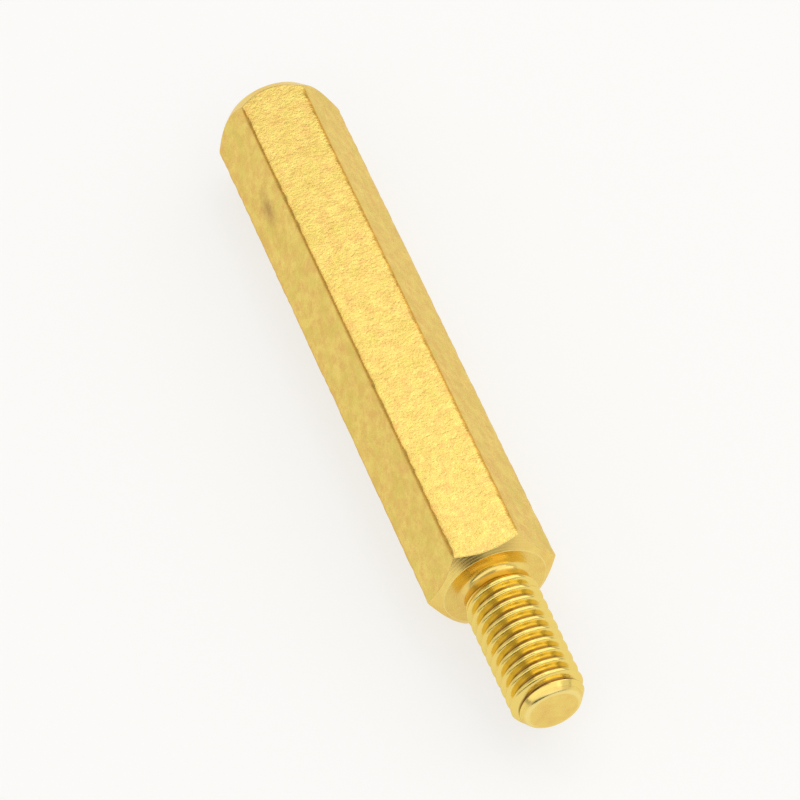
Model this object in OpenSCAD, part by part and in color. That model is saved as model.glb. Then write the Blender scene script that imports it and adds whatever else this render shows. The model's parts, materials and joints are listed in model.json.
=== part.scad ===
// Male-female hex standoff, turned in one piece from drawn brass hexagon bar.
// It lies on one flat: the axis runs along X with the stud toward +X, and the lowest flat is at Z = 0.
// The origin is under the middle of its length.

/* [Hexagon body] */
// Width across two opposite flats
across_flats = 4.5; // [4:0.1:6]
// Length of the body, from the hole's end to the shoulder
body_length = 25; // [15:1:60]
// Radius along the six long edges of the drawn bar
long_edge_radius = 0.12; // [0.05:0.01:0.3]

/* [Stud end] */
// Distance from the flats in to the rim of the flat shoulder
shoulder_inset = 0.2; // [0.05:0.01:0.3]
// Angle between the chamfer and the shoulder's face
shoulder_chamfer_angle = 33; // [20:1:60]

/* [Hole end] */
// Distance from the flats in to the rim of the hole's end face
hole_end_inset = 0.3; // [0.1:0.01:0.35]
// Angle between the chamfer and the hole's end face
hole_end_chamfer_angle = 54; // [20:1:60]

/* [Stud] */
// Diameter over the crests of the stud's thread
stud_diameter = 2.95; // [2.8:0.01:3]
// Length of the stud, from the shoulder to the tip
stud_length = 6; // [4:0.5:12]
// Length of the plain neck between the shoulder and the thread
neck_length = 0.45; // [0.2:0.05:0.8]
// Depth of the neck below the thread's crests
neck_depth = 0.22; // [0.1:0.01:0.3]
// How far outside the thread's crests the shoulder's flat face starts
seat_clearance = 0.03; // [0.01:0.01:0.1]
// Width of the chamfer around the tip's face
tip_chamfer_width = 0.4; // [0.2:0.05:0.6]
// Length of the chamfer around the tip's face
tip_chamfer_length = 0.6; // [0.2:0.05:1]

/* [Threaded hole] */
// Diameter of the hole, over the crests of its thread
hole_diameter = 2.5; // [2.4:0.01:2.6]
// Depth of the hole, without the drill's point
hole_depth = 10; // [5:0.5:12]
// Full angle of the drill's point at the bottom of the hole
drill_point_angle = 118; // [90:1:140]
// Width and depth of the countersink around the hole's mouth
countersink = 0.25; // [0.1:0.01:0.3]

/* [Hidden] */
$fn = 96;
// Angle between one flat and the next
flat_step = 60;
// How far a shape runs past the face that it meets
overlap = 0.5;

axis_height = across_flats / 2;
total_length = body_length + stud_length;
hole_end_x = -total_length / 2;

edge_centre = (across_flats / 2 - long_edge_radius) / cos(flat_step / 2);
outside_corners = across_flats / sqrt(3) + overlap;
shoulder_radius = across_flats / 2 - shoulder_inset;
hole_end_radius = across_flats / 2 - hole_end_inset;
shoulder_chamfer_length = (outside_corners - shoulder_radius) * tan(shoulder_chamfer_angle);
hole_end_chamfer_length = (outside_corners - hole_end_radius) * tan(hole_end_chamfer_angle);

stud_radius = stud_diameter / 2;
neck_radius = stud_radius - neck_depth;
neck_fillet = neck_depth + seat_clearance;
tip_radius = stud_radius - tip_chamfer_width;
thread_start = body_length + neck_length;

hole_radius = hole_diameter / 2;
mouth_radius = hole_radius + countersink;
drill_point_length = hole_radius / tan(drill_point_angle / 2);

function toward(angle) = [cos(angle), sin(angle)];

// Carries a shape drawn upward from Z = 0 to the standoff's own axis, the hole's end first
module along_axis() {
  translate([hole_end_x, 0, axis_height])
    rotate([0, 90, 0])
      children();
}

// Section of the drawn bar: a hexagon with rounded corners, one pair of flats level
module bar_section() {
  polygon([
    for (corner = [0:5], side = [0, 1])
      edge_centre * toward(flat_step * (corner + 1 / 2)) + long_edge_radius * toward(flat_step * (corner + side))
  ]);
  for (corner = [0:5])
    translate(edge_centre * toward(flat_step * (corner + 1 / 2)))
      circle(long_edge_radius);
}

// Round blank that the two turned ends leave, which cuts the hexagon's corners back
module turned_ends() {
  rotate_extrude()
    polygon([
      [0, 0],
      [hole_end_radius, 0],
      [outside_corners, hole_end_chamfer_length],
      [outside_corners, body_length - shoulder_chamfer_length],
      [shoulder_radius, body_length],
      [0, body_length]
    ]);
}

// Section of the fillet between the neck and the shoulder's face, which leaves that face clear of the crests
module neck_fillet_section() {
  translate([neck_radius, body_length])
    difference() {
      translate([-overlap, -overlap])
        square(overlap + neck_fillet);
      translate([neck_fillet, neck_fillet])
        circle(neck_fillet);
    }
}

// Stud at its crest diameter, with a filleted neck and a chamfered tip
module stud() {
  rotate_extrude() {
    polygon([
      [0, body_length - overlap],
      [neck_radius, body_length - overlap],
      [neck_radius, thread_start],
      [stud_radius, thread_start + neck_depth],
      [stud_radius, total_length - tip_chamfer_length],
      [tip_radius, total_length],
      [0, total_length]
    ]);
    neck_fillet_section();
  }
}

// Blind hole at its crest diameter, with a countersunk mouth and the drill's point at its bottom
module hole() {
  rotate_extrude()
    polygon([
      [0, -overlap],
      [mouth_radius + overlap, -overlap],
      [hole_radius, countersink],
      [hole_radius, hole_depth],
      [0, hole_depth + drill_point_length]
    ]);
}

module standoff() {
  color("#D9B65C")
    along_axis()
      difference() {
        union() {
          intersection() {
            linear_extrude(body_length)
              bar_section();
            turned_ends();
          }
          stud();
        }
        hole();
      }
}

standoff();
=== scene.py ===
"""Brass hex standoff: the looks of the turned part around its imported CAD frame, and a plain studio stage."""

import json
import math
from typing import NamedTuple

import bpy
import numpy as np
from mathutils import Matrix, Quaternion, Vector


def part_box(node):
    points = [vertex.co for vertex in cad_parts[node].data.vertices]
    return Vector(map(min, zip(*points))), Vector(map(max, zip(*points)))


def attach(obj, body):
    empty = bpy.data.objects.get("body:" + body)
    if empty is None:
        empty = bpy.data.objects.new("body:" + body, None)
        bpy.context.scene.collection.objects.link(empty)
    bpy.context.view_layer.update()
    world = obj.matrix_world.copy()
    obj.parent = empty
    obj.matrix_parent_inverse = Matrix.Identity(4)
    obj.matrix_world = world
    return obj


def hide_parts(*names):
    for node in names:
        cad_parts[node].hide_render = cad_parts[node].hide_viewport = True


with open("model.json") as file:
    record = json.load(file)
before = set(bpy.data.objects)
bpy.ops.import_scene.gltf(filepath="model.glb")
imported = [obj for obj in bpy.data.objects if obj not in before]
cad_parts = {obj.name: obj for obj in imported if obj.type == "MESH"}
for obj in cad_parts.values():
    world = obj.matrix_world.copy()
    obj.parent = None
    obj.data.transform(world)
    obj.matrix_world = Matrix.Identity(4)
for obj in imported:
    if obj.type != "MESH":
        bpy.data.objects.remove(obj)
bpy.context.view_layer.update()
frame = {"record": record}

bl_info = {
    "name": "Brass hex standoff",
    "version": (1, 0, 0),
    "blender": (4, 5, 0),
    "location": "3D View > Sidebar > Standoff",
    "description": "Makes a turned brass hex standoff with cut threads, and a plain studio stage for it",
    "category": "Object",
}

MM = 0.001
NODE = "standoff"
BODY = "root"

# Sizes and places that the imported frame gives
mounts = {mount["name"]: mount for mount in frame["record"]["mounts"]}
node_low, node_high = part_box(NODE)
TIP_X = node_high.x
HOLE_END_X = node_low.x
SHOULDER_X = mounts["shoulder"]["pos_m"][0]
ACROSS_FLATS = node_high.z - node_low.z
STUD_RADIUS = mounts["stud"]["dims"]["r_mm"] * MM
HOLE_RADIUS = mounts["threaded_hole"]["dims"]["r_mm"] * MM

# Sides of the bar, and the angle from one flat to the next
SIDES = 6
FLAT_STEP = math.tau / SIDES

# Columns of points around the skin: on each rounded long edge, and across each flat
EDGE_COLUMNS = 7
FLAT_COLUMNS = 15
# Place of the column beside a long edge, as a share of that edge's radius, and how near the edge it counts
BESIDE_EDGE = 0.25
BESIDE_EDGE_NEARNESS = 0.2
# Power that lets the nearness fall off around a long edge
NEARNESS_POWER = 4

# Rows of points along the bar, around each softened corner and around the neck's fillet
BODY_ROWS = 200
CORNER_STEPS = 4
FILLET_STEPS = 8
# Place of the row beside a softened corner, as a share of that corner's setback
BESIDE_CORNER = 1.5
# Rows on the tip's face, as shares of its radius
TIP_FACE_ROWS = (0.15, 0.6)
# Last row on the drill's point, as a share of the point's length
DRILL_POINT_ROW = 0.9

# Rows of points in one turn of a thread, and the least gap between its points and a plain row, in such rows
STUD_ROWS_PER_TURN = 20
HOLE_ROWS_PER_TURN = 10
THREAD_GAP = 0.4
# Half width of a worn crest, and where the root starts, as shares of the pitch from the middle of the crest
CREST_HALF_WIDTH = 0.07
ROOT_START = 0.45

# Dents along the long edges: their seed, the power that makes deep ones rare, and the depth of shallow ones
# as a share of the depth of deep ones
DENT_SEED = 11
DENT_POWER = 4
SHALLOW_DENTS = 0.2

# Finishes, in the order of the piece's material slots
DRAWN, TURNED, THREADED = range(3)
# Name of the mesh attribute that is 1 on each long edge, broken corner and crest. It masks the painted dark
# reflection along the long edges, the rubbed wear of the turned corners, and the painted shade at the thread's
# roots, where it falls to 0
WEAR_AND_SHADE = "wear_and_shade_mask"

# Gap between the part's flat and the floor, so that the two faces don't meet
FLOOR_GAP = 0.005 * MM
# Point that the camera looks at, width of its frame in millimetres, and its near limit
CAMERA_TARGET = (0.0, -0.25 * MM, 2.33 * MM)
FRAME_WIDTH = 36.0
NEAR_LIMIT = 0.01


class Softbox(NamedTuple):
    """An area lamp that faces the origin, with its sizes in metres."""

    name: str
    # Direction from the origin
    toward: tuple
    distance: float
    width: float
    height: float
    # Name of the stage's value for its brightness
    radiance: str


# A softbox above and behind, a fill on each side, a wide panel in front and a key lamp at the back right
SOFTBOXES = (
    Softbox("softbox", (-0.52, 0.04, 0.85), 0.5, 0.36, 0.26, "softbox_radiance"),
    Softbox("left_fill", (-0.33, -0.85, 0.42), 0.5, 0.36, 0.3, "fill_radiance"),
    Softbox("right_fill", (0.36, 0.83, 0.42), 0.5, 0.36, 0.3, "fill_radiance"),
    Softbox("front_panel", (0.69, -0.12, 0.7), 0.5, 1.2, 0.45, "front_radiance"),
    Softbox("key", (-0.15, 0.68, 0.72), 0.45, 0.5, 0.5, "key_radiance"),
)


def linear(hex_colour):
    """Turns an sRGB hex colour into linear red, green, blue and alpha, by the curve of the sRGB standard."""
    channels = [int(hex_colour[start : start + 2], 16) / 255 for start in (1, 3, 5)]
    return [c / 12.92 if c <= 0.04045 else ((c + 0.055) / 1.055) ** 2.4 for c in channels] + [1.0]


def length(name, description, metres):
    """A length that a user may set."""
    return bpy.props.FloatProperty(
        name=name,
        description=description,
        default=metres,
        min=0.0,
        precision=6,
        subtype="DISTANCE",
        unit="LENGTH",
    )


def angle(name, description, degrees):
    """An angle that a user may set."""
    return bpy.props.FloatProperty(
        name=name,
        description=description,
        default=math.radians(degrees),
        subtype="ANGLE",
        unit="ROTATION",
    )


def colour(name, description, hex_colour):
    """A colour that a user may set."""
    return bpy.props.FloatVectorProperty(
        name=name,
        description=description,
        default=linear(hex_colour),
        size=4,
        min=0.0,
        max=1.0,
        subtype="COLOR",
    )


def brightness(name, description, radiance):
    """A lamp's brightness that a user may set. A lamp of brightness 1 looks white."""
    return bpy.props.FloatProperty(name=name, description=description, default=radiance, min=0.0)


class StandoffSizes(bpy.types.PropertyGroup):
    """Sizes of the turned part"""

    across_flats: length("Across flats", "Width across two opposite flats", ACROSS_FLATS)
    long_edge_radius: length("Long edge radius", "Radius along the six long edges", 0.12 * MM)
    shoulder_inset: length("Shoulder inset", "From the flats in to the shoulder's rim", 0.2 * MM)
    shoulder_angle: angle("Shoulder chamfer", "Between the chamfer and the shoulder's face", 33)
    hole_end_inset: length("Hole end inset", "From the flats in to the rim of the hole's end", 0.3 * MM)
    hole_end_angle: angle("Hole end chamfer", "Between the chamfer and the hole's end face", 54)
    stud_radius: length("Stud radius", "Radius over the thread's crests", STUD_RADIUS)
    stud_thread_depth: length("Stud thread depth", "From the crests to the roots of its thread", 0.28 * MM)
    neck_length: length("Neck length", "Plain neck between the shoulder and the thread", 0.45 * MM)
    neck_depth: length("Neck depth", "Depth of the neck below the crests", 0.22 * MM)
    seat_clearance: length("Seat clearance", "From the crests out to the shoulder's flat face", 0.03 * MM)
    tip_chamfer_width: length("Tip chamfer width", "Width of the chamfer around the tip's face", 0.4 * MM)
    tip_chamfer_length: length("Tip chamfer length", "Length of the chamfer around the tip's face", 0.6 * MM)
    thread_pitch: length("Thread pitch", "From one crest to the next", 0.5 * MM)
    thread_lead: length("Thread lead", "How far the stud's crests are moved toward the tip", 0.145 * MM)
    hole_radius: length("Hole radius", "Radius over the crests", HOLE_RADIUS)
    hole_depth: length("Hole depth", "Depth of the hole without the drill's point", 10 * MM)
    hole_thread_length: length("Hole thread length", "How far the thread runs into the hole", 8 * MM)
    hole_thread_depth: length("Hole thread depth", "From the crests to the roots of its thread", 0.22 * MM)
    drill_point_angle: angle("Drill point", "Full angle of the drill's point", 118)
    countersink: length("Countersink", "Width and depth of the countersink at the hole's mouth", 0.25 * MM)
    edge_break: length("Edge break", "How far a turned corner is set back where it was broken", 0.025 * MM)
    tip_break: length("Tip break", "How far the corner around the tip's face is set back", 0.15 * MM)
    dent_depth: length("Dent depth", "Depth that the dents along the long edges are scaled to", 0.05 * MM)


class StandoffColours(bpy.types.PropertyGroup):
    """Colours of the brass and of the floor"""

    brass: colour("Brass", "Clean brass of the flats", "#F0D577")
    brass_warm: colour("Warm brass", "Pinkish patches of the brass", "#E6BC6C")
    brass_olive: colour("Olive brass", "Greenish patches of the brass", "#DCC664")
    # Painted dark reflection along the long edges, not a colour of the metal
    brass_edge_shade: colour("Edge brass", "Deeper brass along the long edges", "#DCA94C")
    brass_glancing: colour("Glancing brass", "Tint of the brass seen at a glancing angle", "#FDF3D4")
    brass_worn: colour("Worn brass", "Rubbed turned corners", "#F5DF8E")
    # Painted shade at the thread's roots, not a colour of the metal
    brass_root_shade: colour("Thread root", "Dull brass at the roots of the threads", "#8E6026")
    tarnish: colour("Tarnish", "Brown smudge of tarnish", "#AA8450")
    floor: colour("Floor", "Pale floor", "#FDFCFA")


class StandoffStage(bpy.types.PropertyGroup):
    """Camera, floor and lamps"""

    camera_azimuth: angle("Camera azimuth", "From the stud's direction toward the camera", -11.9)
    camera_elevation: angle("Camera elevation", "Of the camera above the floor", 53.84)
    camera_roll: angle("Camera roll", "About the line of sight", -10.7)
    camera_distance: length("Camera distance", "From the part to the camera", 184.2 * MM)
    camera_lens: bpy.props.FloatProperty(
        name="Lens", description="Focal length on a 36 mm frame, in millimetres", default=215.0, min=1.0
    )
    floor_size: length("Floor size", "Side of the square floor, which runs far out for low views", 20.0)
    softbox_radiance: brightness("Softbox", "Brightness of the softbox above and behind", 0.94)
    fill_radiance: brightness("Fills", "Brightness of the two side fills", 0.4)
    front_radiance: brightness("Front panel", "Brightness of the front panel", 0.75)
    key_radiance: brightness("Key lamp", "Brightness of the key lamp", 0.95)


class TurnedSkin:
    """Collects the points and faces of one closed skin, in rows around the standoff's axis.

    Rows are given in order along the skin, from the stud's tip to the bottom of the hole."""

    def __init__(self, angles, axis_height):
        self.angles = angles
        self.axis_height = axis_height
        self.points = []
        self.wear_and_shade = []
        self.faces = []
        self.finishes = []

    def add_point(self, x, turn, radius, wear_and_shade):
        """Adds one point and returns its number."""
        self.points.append((x, radius * math.cos(turn), self.axis_height + radius * math.sin(turn)))
        self.wear_and_shade.append(wear_and_shade)
        return len(self.points) - 1

    def add_row(self, x, radius, wear_and_shade):
        """Adds one closed row of points, from one value or one per column, and returns their numbers."""
        columns = np.broadcast_arrays(x, self.angles, radius, wear_and_shade)
        return [self.add_point(*values) for values in zip(*(column.tolist() for column in columns))]

    def add_face(self, corners, finish):
        """Adds one face."""
        self.faces.append(corners)
        self.finishes.append(finish)

    def join_rows(self, first, second, finish):
        """Joins two rows with a band of quads."""
        for column in range(len(first)):
            after = (column + 1) % len(first)
            self.add_face((first[column], second[column], second[after], first[after]), finish)

    def lay_rows(self, rows):
        """Lays rows one after another and returns the first and the last of them."""
        first = previous = self.add_row(*rows[0][:3])
        for number in range(1, len(rows)):
            current = self.add_row(*rows[number][:3])
            self.join_rows(previous, current, rows[number - 1][3])
            previous = current
        return first, previous

    def close_start(self, x, row, finish):
        """Closes the skin on its axis before its first row."""
        pole = self.add_point(x, 0.0, 0.0, 0.0)
        for column in range(len(row)):
            self.add_face((pole, row[column], row[(column + 1) % len(row)]), finish)

    def close_end(self, x, row, finish):
        """Closes the skin on its axis after its last row."""
        pole = self.add_point(x, 0.0, 0.0, 0.0)
        for column in range(len(row)):
            self.add_face((row[column], pole, row[(column + 1) % len(row)]), finish)

    def cut_thread(self, low_row, high_row, pitch, rows_per_turn, radius_at, outside):
        """Fills the space between two plain rows with a right-hand thread, on points along its helix."""
        margin = THREAD_GAP * pitch / rows_per_turn
        low_x = self.points[low_row[0]][0] + margin
        high_x = self.points[high_row[0]][0] - margin
        columns = []
        for turn in self.angles:
            share = turn / math.tau
            first = math.ceil(rows_per_turn * (low_x / pitch - share))
            last = math.floor(rows_per_turn * (high_x / pitch - share))
            numbers = {}
            for row in range(first, last + 1):
                x = pitch * (row / rows_per_turn + share)
                radius, wear_and_shade = radius_at(x, row / rows_per_turn)
                numbers[row] = self.add_point(x, turn, radius, wear_and_shade)
            columns.append(numbers)
        for column, numbers in enumerate(columns):
            after = (column + 1) % len(columns)
            # The last column meets the first one a full turn further along the helix
            around = rows_per_turn if after == 0 else 0
            beside = {row - around: number for row, number in columns[after].items()}
            bottom = max(min(numbers), min(beside))
            top = min(max(numbers), max(beside))
            faces = [
                [numbers[row], numbers[row + 1], beside[row + 1], beside[row]]
                for row in range(bottom, top)
            ]
            # The faces at both ends take up the points that only one of the two columns has
            faces.append(
                [low_row[column]]
                + [numbers[row] for row in range(min(numbers), bottom + 1)]
                + [beside[row] for row in range(bottom, min(beside) - 1, -1)]
                + [low_row[after]]
            )
            faces.append(
                [numbers[row] for row in range(top, max(numbers) + 1)]
                + [high_row[column], high_row[after]]
                + [beside[row] for row in range(max(beside), top - 1, -1)]
            )
            for corners in faces:
                self.add_face(corners[::-1] if outside else corners, THREADED)


def bar_columns(sizes):
    """Angle and radius of each column around the drawn bar, the long edge it is by, and how near that is."""
    apothem = sizes.across_flats / 2
    edge_centre = (apothem - sizes.long_edge_radius) / math.cos(FLAT_STEP / 2)
    half_flat = edge_centre * math.sin(FLAT_STEP / 2)
    outer = half_flat - BESIDE_EDGE * sizes.long_edge_radius
    inner = half_flat - sizes.long_edge_radius
    flat_places = [-outer, *np.linspace(-inner, inner, FLAT_COLUMNS), outer]
    columns = []
    for edge in range(SIDES):
        middle = edge * FLAT_STEP
        for turn in np.linspace(-FLAT_STEP / 2, FLAT_STEP / 2, EDGE_COLUMNS):
            y = edge_centre * math.cos(middle) + sizes.long_edge_radius * math.cos(middle + turn)
            z = edge_centre * math.sin(middle) + sizes.long_edge_radius * math.sin(middle + turn)
            columns.append((y, z, edge, math.cos(turn) ** NEARNESS_POWER))
        normal = middle + FLAT_STEP / 2
        for along in flat_places:
            y = apothem * math.cos(normal) - along * math.sin(normal)
            z = apothem * math.sin(normal) + along * math.cos(normal)
            nearness = BESIDE_EDGE_NEARNESS if abs(along) > inner else 0.0
            columns.append((y, z, edge if along < 0 else (edge + 1) % SIDES, nearness))
    y, z, edge, nearness = np.array(columns).T
    return np.unwrap(np.arctan2(z, y)), np.hypot(y, z), edge.astype(int), nearness


def soften(stations, columns):
    """Breaks the corners of a profile. A station is x, radius, the corner's setback and the finish after it.

    Each row that comes back is x, radius, wear and the finish after it."""
    ones = np.ones(columns)
    points = [np.array([x * ones, radius * ones]) for x, radius, _, _ in stations]
    rows = []
    for number, (_, _, setback, finish) in enumerate(stations):
        corner = points[number]
        if not setback:
            rows.append((*corner, 0.0, finish))
            continue
        back = points[number - 1] - corner
        onward = points[number + 1] - corner
        back = back * setback / np.hypot(*back)
        onward = onward * setback / np.hypot(*onward)
        finish_before = stations[number - 1][3]
        # A row beside the break on each side keeps the faces next to it flat
        rows.append((*(corner + BESIDE_CORNER * back), 0.0, finish_before))
        for step in range(CORNER_STEPS + 1):
            share = step / CORNER_STEPS
            point = corner + (1 - share) ** 2 * back + share**2 * onward
            # The wear is full in the middle of the break and none at its ends
            wear_and_shade = 4 * share * (1 - share)
            rows.append((*point, wear_and_shade, finish_before if share < 0.5 else finish))
        rows.append((*(corner + BESIDE_CORNER * onward), 0.0, finish))
    return rows


def smooth_step(share):
    """Goes gently from 0 to 1."""
    share = min(max(share, 0.0), 1.0)
    return share * share * (3 - 2 * share)


def groove(phase):
    """Depth of a worn thread's groove, from 0 on the rounded crest to 1 at the narrow root."""
    from_crest = abs((phase + 0.5) % 1.0 - 0.5)
    return smooth_step((from_crest - CREST_HALF_WIDTH) / (ROOT_START - CREST_HALF_WIDTH))


class StandoffProfile:
    """Works out the rows of points along the standoff's skin from its sizes."""

    def __init__(self, sizes):
        self.sizes = sizes
        self.angles, self.bar_radius, self.edge, self.nearness = bar_columns(sizes)
        self.tip_radius = sizes.stud_radius - sizes.tip_chamfer_width
        self.neck_radius = sizes.stud_radius - sizes.neck_depth
        self.thread_x = SHOULDER_X + sizes.neck_length
        self.mouth_radius = sizes.hole_radius + sizes.countersink
        self.thread_end_x = HOLE_END_X + sizes.hole_thread_length
        self.bottom_x = HOLE_END_X + sizes.hole_depth
        self.point_length = sizes.hole_radius / math.tan(sizes.drill_point_angle / 2)
        # Length of plain bar between a chamfer and the first dents
        self.bar_run_in = 5 * sizes.edge_break

    def tip_rows(self):
        """The stud's tip, from its face to its chamfer, whose last row is left to the thread."""
        sizes = self.sizes
        face = [(TIP_X, share * self.tip_radius, 0.0, TURNED) for share in TIP_FACE_ROWS]
        rim = (TIP_X, self.tip_radius, sizes.tip_break, TURNED)
        chamfer_end = (TIP_X - sizes.tip_chamfer_length, sizes.stud_radius, 0.0, TURNED)
        return soften([*face, rim, chamfer_end], len(self.angles))[:-1]

    def shoulder_rows(self):
        """The neck, its fillet, the shoulder and its chamfer, as far as the bar."""
        sizes = self.sizes
        fillet = sizes.neck_depth + sizes.seat_clearance
        fillet_x = SHOULDER_X + fillet
        fillet_radius = self.neck_radius + fillet
        seat_radius = sizes.across_flats / 2 - sizes.shoulder_inset
        chamfer_x = SHOULDER_X - (self.bar_radius - seat_radius) * math.tan(sizes.shoulder_angle)
        stations = [(self.thread_x, self.neck_radius, 0.0, TURNED)]
        for turn in np.linspace(0, math.pi / 2, FILLET_STEPS + 1):
            x = fillet_x - fillet * math.sin(turn)
            radius = fillet_radius - fillet * math.cos(turn)
            stations.append((x, radius, 0.0, TURNED))
        stations += [
            (SHOULDER_X, fillet_radius + sizes.seat_clearance, 0.0, TURNED),
            (SHOULDER_X, seat_radius, sizes.edge_break, TURNED),
            (chamfer_x, self.bar_radius, sizes.edge_break, DRAWN),
            (chamfer_x - self.bar_run_in, self.bar_radius, 0.0, DRAWN),
        ]
        return soften(stations, len(self.angles))

    def bar_rows(self, start_x, end_x):
        """The bar between its two chamfers, with small dents along its long edges."""
        draws = np.random.default_rng(DENT_SEED)
        dents = draws.random((BODY_ROWS, SIDES)) ** DENT_POWER
        dents = dents + SHALLOW_DENTS * draws.random((BODY_ROWS, SIDES))
        # Each dent is spread over the rows beside it
        dents = (np.roll(dents, 1, axis=0) + 2 * dents + np.roll(dents, -1, axis=0)) / 4
        rows = []
        for row in range(1, BODY_ROWS):
            share = row / BODY_ROWS
            x = (1 - share) * start_x + share * end_x
            radius = self.bar_radius - self.sizes.dent_depth * dents[row][self.edge] * self.nearness
            # The nearness to a long edge is the mask of the painted dark reflection along it
            rows.append((x, radius, self.nearness, DRAWN))
        return rows

    def hole_end_rows(self):
        """The hole end's chamfer, face and countersink, whose last row is left to the thread."""
        sizes = self.sizes
        end_radius = sizes.across_flats / 2 - sizes.hole_end_inset
        chamfer_x = HOLE_END_X + (self.bar_radius - end_radius) * math.tan(sizes.hole_end_angle)
        rim_break = 1.5 * sizes.edge_break
        mouth_break = 0.6 * sizes.edge_break
        stations = [
            (chamfer_x + self.bar_run_in, self.bar_radius, 0.0, DRAWN),
            (chamfer_x, self.bar_radius, sizes.edge_break, TURNED),
            (HOLE_END_X, end_radius, rim_break, TURNED),
            (HOLE_END_X, self.mouth_radius, mouth_break, TURNED),
            (HOLE_END_X + sizes.countersink, sizes.hole_radius, 0.0, TURNED),
        ]
        return soften(stations, len(self.angles))[:-1]

    def hole_bottom_rows(self):
        """The plain bore past the thread, and the drill's point as far as its last row."""
        sizes = self.sizes
        point_row_x = self.bottom_x + DRILL_POINT_ROW * self.point_length
        point_row_radius = (1 - DRILL_POINT_ROW) * sizes.hole_radius
        stations = [
            (self.thread_end_x, sizes.hole_radius, 0.0, TURNED),
            (self.bottom_x, sizes.hole_radius, sizes.edge_break, TURNED),
            (point_row_x, point_row_radius, 0.0, TURNED),
        ]
        return soften(stations, len(self.angles))

    def stud_radius_at(self, x, phase):
        """The stud's radius, and its nearness to a crest, which sets the painted shade at the roots: the
        crests, cut by the groove, the tip's chamfer and the neck.
        """
        sizes = self.sizes
        run_in = 1.2 * sizes.thread_pitch
        lead = sizes.thread_lead / sizes.thread_pitch
        depth = groove(phase - lead) * smooth_step((x - self.thread_x) / run_in)
        chamfer = self.tip_radius + (TIP_X - x) * sizes.tip_chamfer_width / sizes.tip_chamfer_length
        neck = self.neck_radius + x - self.thread_x
        return min(sizes.stud_radius - sizes.stud_thread_depth * depth, chamfer, neck), 1 - depth

    def hole_radius_at(self, x, phase):
        """The hole's radius, and its nearness to a crest, which sets the painted shade at the roots: the
        crests, cut by the groove and the countersink.
        """
        sizes = self.sizes
        depth = groove(phase) * smooth_step((self.thread_end_x - x) / sizes.thread_pitch)
        countersink = self.mouth_radius + HOLE_END_X - x
        return max(sizes.hole_radius + sizes.hole_thread_depth * depth, countersink), 1 - depth


def standoff_skin(sizes):
    """The whole skin of the standoff: stud, shoulder, bar, hole's end and hole, as one closed surface."""
    profile = StandoffProfile(sizes)
    skin = TurnedSkin(profile.angles, sizes.across_flats / 2)
    pitch = sizes.thread_pitch

    tip_start, tip_end = skin.lay_rows(profile.tip_rows())
    skin.close_start(TIP_X, tip_start, TURNED)

    front_rows = profile.shoulder_rows()
    back_rows = profile.hole_end_rows()
    body_rows = profile.bar_rows(front_rows[-1][0], back_rows[0][0])
    neck_row, mouth_row = skin.lay_rows(front_rows + body_rows + back_rows)

    bore_row, point_row = skin.lay_rows(profile.hole_bottom_rows())
    skin.close_end(profile.bottom_x + profile.point_length, point_row, TURNED)

    skin.cut_thread(neck_row, tip_end, pitch, STUD_ROWS_PER_TURN, profile.stud_radius_at, True)
    skin.cut_thread(mouth_row, bore_row, pitch, HOLE_ROWS_PER_TURN, profile.hole_radius_at, False)
    return skin


def add_node(tree, kind, inputs=None, **settings):
    """Adds a node with its settings. Each input gets a value, or a link from an output of another node."""
    node = tree.nodes.new(kind)
    for name, value in settings.items():
        setattr(node, name, value)
    for name, value in (inputs or {}).items():
        if isinstance(value, bpy.types.NodeSocket):
            tree.links.new(value, node.inputs[name])
        else:
            node.inputs[name].default_value = value
    return node


# Places of the colour sockets on a Mix node
MIX_FACTOR, MIX_A, MIX_B, MIX_RESULT = 0, 6, 7, 2


def per_metre(millimetres):
    """How many features of this size there are in a metre."""
    return 1 / (millimetres * MM)


def noise(tree, place, scale, detail, roughness):
    """Outputs of a noise with this many features in a unit of the place."""
    inputs = {"Vector": place, "Scale": scale, "Detail": detail, "Roughness": roughness}
    return add_node(tree, "ShaderNodeTexNoise", inputs).outputs


def map_range(tree, value, before, after):
    """Carries a value from the range before to the range after, and holds it there."""
    inputs = {
        "Value": value,
        "From Min": before[0],
        "From Max": before[1],
        "To Min": after[0],
        "To Max": after[1],
    }
    return add_node(tree, "ShaderNodeMapRange", inputs).outputs["Result"]


def calculate(tree, operation, first, second):
    """Result of one step of arithmetic."""
    return add_node(tree, "ShaderNodeMath", {0: first, 1: second}, operation=operation).outputs["Value"]


def mix_colours(tree, share, first, second):
    """Goes from the first colour to the second one as the share goes from 0 to 1."""
    inputs = {MIX_FACTOR: share, MIX_A: first, MIX_B: second}
    return add_node(tree, "ShaderNodeMix", inputs, data_type="RGBA").outputs[MIX_RESULT]


def bump(tree, height, millimetres, over=None):
    """Normal of a surface that a pattern raises by so many millimetres, over another normal if given."""
    inputs = {"Strength": 1.0, "Distance": millimetres * MM, "Height": height}
    if over is not None:
        inputs["Normal"] = over
    return add_node(tree, "ShaderNodeBump", inputs).outputs["Normal"]


def new_material(name):
    """A material with only its output, and that output."""
    material = bpy.data.materials.new(name)
    material.use_nodes = True
    material.node_tree.nodes.clear()
    return material, add_node(material.node_tree, "ShaderNodeOutputMaterial")


def place_wear_and_shade(tree):
    """Place of a point on the piece in metres, and its mask of wear and painted shade."""
    place = add_node(tree, "ShaderNodeTexCoord").outputs["Object"]
    wear_and_shade = add_node(tree, "ShaderNodeAttribute", attribute_name=WEAR_AND_SHADE).outputs["Fac"]
    return place, wear_and_shade


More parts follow.
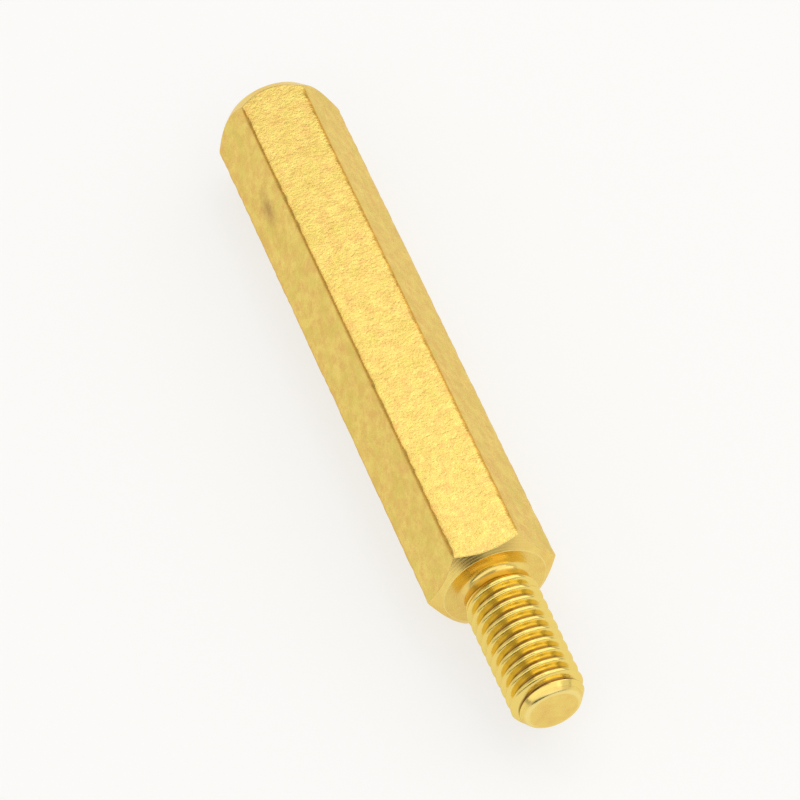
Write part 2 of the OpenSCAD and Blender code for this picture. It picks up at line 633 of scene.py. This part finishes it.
def finish_brass(tree, output, colours, base, roughness, normal):
    """Ends a brass material: bare metal, which pales at a glancing angle."""
    inputs = {
        "Base Color": base,
        "Metallic": 1.0,
        "Roughness": roughness,
        "Specular Tint": colours.brass_glancing,
        "Normal": normal,
    }
    shader = add_node(tree, "ShaderNodeBsdfPrincipled", inputs)
    tree.links.new(shader.outputs["BSDF"], output.inputs["Surface"])


def drawn_brass(colours):
    """Drawn brass bar. The die leaves satin flats with short ripples across the bar. A painted darker brass
    along the long edges stands in for the dark reflection there. Handling leaves pinkish and greenish patches
    and a brown smudge."""
    # Sizes of the patterns in millimetres. The grain is coarser than a real one so that it shows
    ripple_width = 0.13
    ripple_length = 0.22
    ripple_height = 0.013
    grain_size = 0.1
    grain_height = 0.012
    warm_patch_size = 0.45
    olive_patch_size = 0.8
    # Middle of the smudge on the upper left flat, and its half length, half width and half depth
    spot_middle = (-10.2, -1.92, 3.43)
    spot_half_sizes = (0.8, 0.42, 0.42)
    # Levels of a noise between which a pattern comes in, and the most that it covers
    warm_levels = (0.4, 0.62)
    olive_levels = (0.45, 0.65)
    olive_cover = 0.8
    spot_levels = (-0.5, 0.8)
    spot_cover = 0.75
    grain_levels = (0.3, 0.7)
    roughness_range = (0.22, 0.36)

    material, output = new_material("drawn_satin_brass")
    tree = material.node_tree
    place, wear_and_shade = place_wear_and_shade(tree)

    ripple_scale = (per_metre(ripple_width), per_metre(ripple_length), per_metre(ripple_length))
    ripple_inputs = {"Vector": place, "Scale": ripple_scale}
    stretched = add_node(tree, "ShaderNodeMapping", ripple_inputs).outputs["Vector"]
    ripples = noise(tree, stretched, 1.0, detail=3.0, roughness=0.55)["Fac"]
    grain = noise(tree, place, per_metre(grain_size), detail=2.0, roughness=0.7)["Fac"]
    warm_patches = noise(tree, place, per_metre(warm_patch_size), detail=4.0, roughness=0.7)["Fac"]
    olive_patches = noise(tree, place, per_metre(olive_patch_size), detail=4.0, roughness=0.7)["Color"]
    spot_inputs = {
        "Vector": place,
        "Location": [-middle / half for middle, half in zip(spot_middle, spot_half_sizes)],
        "Scale": [per_metre(half) for half in spot_half_sizes],
    }
    from_spot = add_node(tree, "ShaderNodeMapping", spot_inputs).outputs["Vector"]
    spot = add_node(tree, "ShaderNodeVectorMath", {0: from_spot}, operation="LENGTH").outputs["Value"]
    ragged_spot = calculate(tree, "SUBTRACT", spot, warm_patches)

    warm_share = map_range(tree, warm_patches, warm_levels, (0.0, 1.0))
    olive_share = map_range(tree, olive_patches, olive_levels, (0.0, olive_cover))
    spot_share = map_range(tree, ragged_spot, spot_levels, (spot_cover, 0.0))
    warmed = mix_colours(tree, warm_share, colours.brass, colours.brass_warm)
    patched = mix_colours(tree, olive_share, warmed, colours.brass_olive)
    smudged = mix_colours(tree, spot_share, patched, colours.tarnish)
    # Painted dark reflection: the brass goes deeper and darker toward the long edges
    edge_shaded = mix_colours(tree, wear_and_shade, smudged, colours.brass_edge_shade)

    roughness = map_range(tree, grain, grain_levels, roughness_range)
    rippled = bump(tree, ripples, ripple_height)
    satin = bump(tree, grain, grain_height, over=rippled)
    finish_brass(tree, output, colours, edge_shaded, roughness, satin)
    return material


def turned_brass(colours, axis_height):
    """Turned brass. The lathe tool leaves fine rings around the axis, which make the faces paler and duller.
    The broken corners are rubbed bright."""
    # Sizes of the patterns in millimetres. The tool marks are coarser than real ones so that they show
    ring_spacing = 0.1
    ring_height = 0.0004
    patch_size = 0.7
    # Levels of a noise between which the patches come in, and the most that they cover
    patch_levels = (0.35, 0.7)
    patch_cover = 0.7
    roughness_range = (0.2, 0.29)
    # A wave texture goes through this many radians of its pattern in one unit
    wave_radians = 20

    material, output = new_material("turned_brass")
    tree = material.node_tree
    place, wear_and_shade = place_wear_and_shade(tree)

    to_axis = {"Vector": place, "Location": (0.0, 0.0, -axis_height)}
    centred = add_node(tree, "ShaderNodeMapping", to_axis).outputs["Vector"]
    ring_inputs = {
        "Vector": centred,
        "Scale": math.tau / wave_radians * per_metre(ring_spacing),
        "Distortion": 1.2,
        "Detail": 2.0,
        "Detail Scale": 0.4,
        "Detail Roughness": 0.6,
    }
    rings = add_node(
        tree, "ShaderNodeTexWave", ring_inputs, wave_type="RINGS", rings_direction="X"
    ).outputs["Fac"]
    patches = noise(tree, place, per_metre(patch_size), detail=3.0, roughness=0.6)["Fac"]

    patch_share = map_range(tree, patches, patch_levels, (0.0, patch_cover))
    patched = mix_colours(tree, patch_share, colours.brass, colours.brass_warm)
    rubbed = mix_colours(tree, wear_and_shade, patched, colours.brass_worn)

    roughness = map_range(tree, rings, (0.0, 1.0), roughness_range)
    ringed = bump(tree, rings, ring_height)
    finish_brass(tree, output, colours, rubbed, roughness, ringed)
    return material


def threaded_brass(colours):
    """Die-cut brass thread. Its crests keep the clean brass, and its narrow roots are painted a dull brown
    shade.
    """
    # Sizes of the torn grain in millimetres, coarser than a real one so that it shows
    grain_size = 0.1
    grain_height = 0.002
    # Nearness to a crest from which the painted root shade is gone and the brass is clean
    root_shade_end = 0.22
    grain_levels = (0.3, 0.7)
    roughness_range = (0.14, 0.24)

    material, output = new_material("die_cut_brass_thread")
    tree = material.node_tree
    place, wear_and_shade = place_wear_and_shade(tree)

    grain = noise(tree, place, per_metre(grain_size), detail=2.0, roughness=0.6)["Fac"]
    # Painted shade: the brass goes dull brown toward the thread's roots
    unshaded_share = map_range(tree, wear_and_shade, (0.0, root_shade_end), (0.0, 1.0))
    cut = mix_colours(tree, unshaded_share, colours.brass_root_shade, colours.brass)

    roughness = map_range(tree, grain, grain_levels, roughness_range)
    torn = bump(tree, grain, grain_height)
    finish_brass(tree, output, colours, cut, roughness, torn)
    return material


def pale_floor(colours):
    """Matte white board. It looks near white to the camera and in the metal, and still takes the shadow."""
    glow_share = 0.7
    material, output = new_material("matte_white_board")
    tree = material.node_tree
    path = add_node(tree, "ShaderNodeLightPath").outputs
    seen = calculate(tree, "MAXIMUM", path["Is Camera Ray"], path["Is Glossy Ray"])
    seen = calculate(tree, "MAXIMUM", seen, path["Is Transmission Ray"])
    share = calculate(tree, "MULTIPLY", seen, glow_share)
    matte = add_node(tree, "ShaderNodeBsdfDiffuse", {"Color": colours.floor}).outputs["BSDF"]
    glow = add_node(tree, "ShaderNodeEmission", {"Color": colours.floor, "Strength": 1.0}).outputs["Emission"]
    mixed = add_node(tree, "ShaderNodeMixShader", {0: share, 1: matte, 2: glow}).outputs["Shader"]
    tree.links.new(mixed, output.inputs["Surface"])
    return material


class STANDOFF_OT_turn_part(bpy.types.Operator):
    """Makes the turned standoff with its threads and finishes"""

    bl_idname = "standoff.turn_part"
    bl_label = "Turn the standoff"

    def execute(self, context):
        sizes = context.scene.standoff_sizes
        colours = context.scene.standoff_colours
        skin = standoff_skin(sizes)
        mesh = bpy.data.meshes.new("turned_standoff")
        mesh.from_pydata(skin.points, [], skin.faces)
        if mesh.validate():
            raise RuntimeError("the standoff's skin has faces that can't be used")
        mesh.polygons.foreach_set("material_index", skin.finishes)
        mesh.polygons.foreach_set("use_smooth", [True] * len(skin.faces))
        mesh.attributes.new(WEAR_AND_SHADE, "FLOAT", "POINT").data.foreach_set("value", skin.wear_and_shade)
        mesh.materials.append(drawn_brass(colours))
        mesh.materials.append(turned_brass(colours, sizes.across_flats / 2))
        mesh.materials.append(threaded_brass(colours))
        piece = bpy.data.objects.new("turned_standoff", mesh)
        context.scene.collection.objects.link(piece)
        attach(piece, BODY)
        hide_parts(NODE)
        return {"FINISHED"}


def add_floor(scene, stage, colours):
    """Adds the floor under the part."""
    half = stage.floor_size / 2
    corners = [(x, y, -FLOOR_GAP) for x, y in ((-half, -half), (half, -half), (half, half), (-half, half))]
    mesh = bpy.data.meshes.new("floor")
    mesh.from_pydata(corners, [], [(0, 1, 2, 3)])
    mesh.materials.append(pale_floor(colours))
    floor = bpy.data.objects.new("floor", mesh)
    scene.collection.objects.link(floor)


def add_softbox(scene, softbox, radiance):
    """Adds one area lamp."""
    toward = Vector(softbox.toward)
    lamp = bpy.data.lights.new(softbox.name, "AREA")
    lamp.shape = "RECTANGLE"
    lamp.size = softbox.width
    lamp.size_y = softbox.height
    lamp.energy = radiance * math.pi * softbox.width * softbox.height
    holder = bpy.data.objects.new(softbox.name, lamp)
    holder.location = toward.normalized() * softbox.distance
    holder.rotation_euler = toward.to_track_quat("Z", "Y").to_euler()
    scene.collection.objects.link(holder)


def set_room(scene):
    """Sets a grey room around the floor, pale at the horizon and dark at the left of the front."""
    pale_level = 0.82
    grey_level = 0.46
    dark_level = 0.05
    # Heights of a direction, of length 1, between which pale goes to grey, and to dark in the dark part
    grey_heights = (0.02, 0.12)
    dark_heights = (0.005, 0.02)
    # Direction of the dark part, and how nearly another one points there, at the dark's edge and inside it
    dark_toward = (0.90, -0.42, 0.10)
    dark_edge = (0.88, 0.93)

    world = bpy.data.worlds.new("grey_room")
    world.use_nodes = True
    tree = world.node_tree
    tree.nodes.clear()
    direction = add_node(tree, "ShaderNodeTexCoord").outputs["Generated"]
    facing = add_node(
        tree, "ShaderNodeVectorMath", {0: direction, 1: dark_toward}, operation="DOT_PRODUCT"
    ).outputs["Value"]
    height = add_node(tree, "ShaderNodeSeparateXYZ", {"Vector": direction}).outputs["Z"]
    grey = map_range(tree, height, grey_heights, (pale_level, grey_level))
    dark = map_range(tree, height, dark_heights, (pale_level, dark_level))
    strength = map_range(tree, facing, dark_edge, (grey, dark))
    white = (1.0, 1.0, 1.0, 1.0)
    room = add_node(tree, "ShaderNodeBackground", {"Color": white, "Strength": strength})
    output = add_node(tree, "ShaderNodeOutputWorld")
    tree.links.new(room.outputs["Background"], output.inputs["Surface"])
    scene.world = world


def add_camera(scene, stage):
    """Adds the camera, which looks down on the part from its stud's end."""
    data = bpy.data.cameras.new("camera")
    data.lens = stage.camera_lens
    data.sensor_width = FRAME_WIDTH
    data.clip_start = NEAR_LIMIT
    camera = bpy.data.objects.new("camera", data)
    level_share = math.cos(stage.camera_elevation)
    back = Vector(
        (
            level_share * math.cos(stage.camera_azimuth),
            level_share * math.sin(stage.camera_azimuth),
            math.sin(stage.camera_elevation),
        )
    )
    camera.location = Vector(CAMERA_TARGET) + back * stage.camera_distance
    turn = back.to_track_quat("Z", "Y") @ Quaternion((0.0, 0.0, 1.0), stage.camera_roll)
    camera.rotation_euler = turn.to_euler()
    scene.collection.objects.link(camera)
    scene.camera = camera


class STANDOFF_OT_set_stage(bpy.types.Operator):
    """Sets the floor, the soft light and the camera"""

    bl_idname = "standoff.set_stage"
    bl_label = "Set the stage"

    def execute(self, context):
        scene = context.scene
        stage = scene.standoff_stage
        scene.view_settings.view_transform = "Standard"
        add_floor(scene, stage, scene.standoff_colours)
        for softbox in SOFTBOXES:
            add_softbox(scene, softbox, getattr(stage, softbox.radiance))
        set_room(scene)
        add_camera(scene, stage)
        return {"FINISHED"}


class STANDOFF_PT_panel(bpy.types.Panel):
    """Lists the standoff's sizes, colours and stage"""

    bl_idname = "STANDOFF_PT_panel"
    bl_label = "Hex standoff"
    bl_space_type = "VIEW_3D"
    bl_region_type = "UI"
    bl_category = "Standoff"

    def draw(self, context):
        scene = context.scene
        for group in (scene.standoff_sizes, scene.standoff_colours, scene.standoff_stage):
            box = self.layout.box()
            for name in group.__annotations__:
                box.prop(group, name)
        self.layout.operator(STANDOFF_OT_turn_part.bl_idname)
        self.layout.operator(STANDOFF_OT_set_stage.bl_idname)


classes = (
    StandoffSizes,
    StandoffColours,
    StandoffStage,
    STANDOFF_OT_turn_part,
    STANDOFF_OT_set_stage,
    STANDOFF_PT_panel,
)


def register():
    for each in classes:
        bpy.utils.register_class(each)
    bpy.types.Scene.standoff_sizes = bpy.props.PointerProperty(type=StandoffSizes)
    bpy.types.Scene.standoff_colours = bpy.props.PointerProperty(type=StandoffColours)
    bpy.types.Scene.standoff_stage = bpy.props.PointerProperty(type=StandoffStage)


def unregister():
    del bpy.types.Scene.standoff_stage
    del bpy.types.Scene.standoff_colours
    del bpy.types.Scene.standoff_sizes
    for each in reversed(classes):
        bpy.utils.unregister_class(each)


def main():
    register()
    bpy.ops.standoff.turn_part()
    bpy.ops.standoff.set_stage()


if __name__ == "__main__":
    main()
